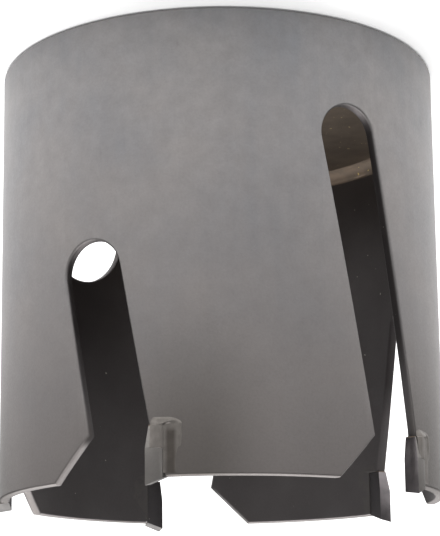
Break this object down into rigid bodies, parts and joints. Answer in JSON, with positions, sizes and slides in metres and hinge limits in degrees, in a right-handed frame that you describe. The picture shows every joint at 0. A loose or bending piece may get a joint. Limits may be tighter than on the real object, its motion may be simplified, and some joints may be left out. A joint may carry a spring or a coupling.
{
  "type": "hole saw",
  "caption": "Thick-walled steel hole saw with leaning chip slots, bevelled gaps, a round window and brazed carbide tips; a threaded back plate takes an arbor.",
  "frame": {"origin": "where the axis of the saw meets its back face", "axes": "+Z along the axis towards the teeth; the saw cuts counter-clockwise as seen from +Z, which is clockwise as seen from the machine"},
  "size_m": [0.0675, 0.067, 0.0672],
  "materials": {
    "blasted_steel": "satin",
    "turned_plate": "dark satin",
    "braze": "satin",
    "carbide": "ground"
  },
  "bodies": {
    "root": {"cup_body": "blasted_steel", "back_plate": "turned_plate", "plate_braze": "braze", "carbide_tip_1": "carbide", "carbide_tip_2": "carbide", "carbide_tip_3": "carbide", "carbide_tip_4": "carbide", "carbide_tip_5": "carbide", "tip_braze_1": "braze", "tip_braze_2": "braze", "tip_braze_3": "braze", "tip_braze_4": "braze", "tip_braze_5": "braze"}
  },
  "joints": []
}
